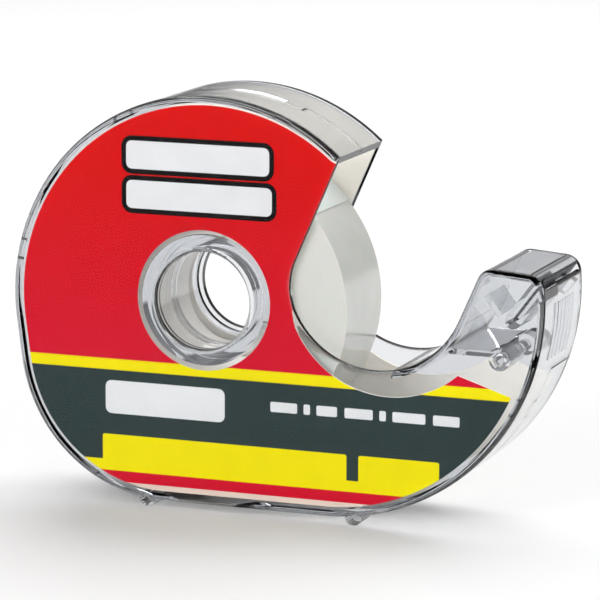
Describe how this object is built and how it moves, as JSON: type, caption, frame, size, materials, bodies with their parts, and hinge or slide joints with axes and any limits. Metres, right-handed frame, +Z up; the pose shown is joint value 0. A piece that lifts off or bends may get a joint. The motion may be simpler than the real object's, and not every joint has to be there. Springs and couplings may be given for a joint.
{
  "type": "handheld tape dispenser",
  "caption": "Snail-shaped clear two-part tape dispenser with a roll of tape turning on its hub, printed cards inside both faces and a toothed steel cutter.",
  "frame": {"origin": "under the middle of the dispenser, on the plane that its feet stand on", "axes": "+X from the hub towards the cutter, +Y from the front face to the rear face along the roll's axis, +Z up"},
  "size_m": [0.099, 0.0236, 0.0739],
  "materials": {
    "clear_plastic": "clear polished polystyrene",
    "printed_card": "coated printed board, uncoated cream back",
    "paper_core": "rolled paper tube",
    "tape_film": "wound clear adhesive film",
    "blade_steel": "stamped steel strip"
  },
  "bodies": {
    "front": {"front_shell": "clear_plastic", "front_label_card": "printed_card", "cutter_blade": "blade_steel"},
    "cover": {"rear_shell": "clear_plastic", "rear_label_card": "printed_card"},
    "roll": {"tape_core": "paper_core", "tape_roll": "tape_film", "tape_end": "tape_film"}
  },
  "joints": [
    {"name": "roll_spin", "type": "hinge", "parent": "front", "child": "roll", "pos_m": [-0.01317, 0, 0.03665], "axis": [0, 1, 0], "continuous": true},
    {"name": "cover_pull", "type": "slide", "parent": "front", "child": "cover", "axis": [0, 1, 0], "range_m": [0, 0.03]}
  ]
}
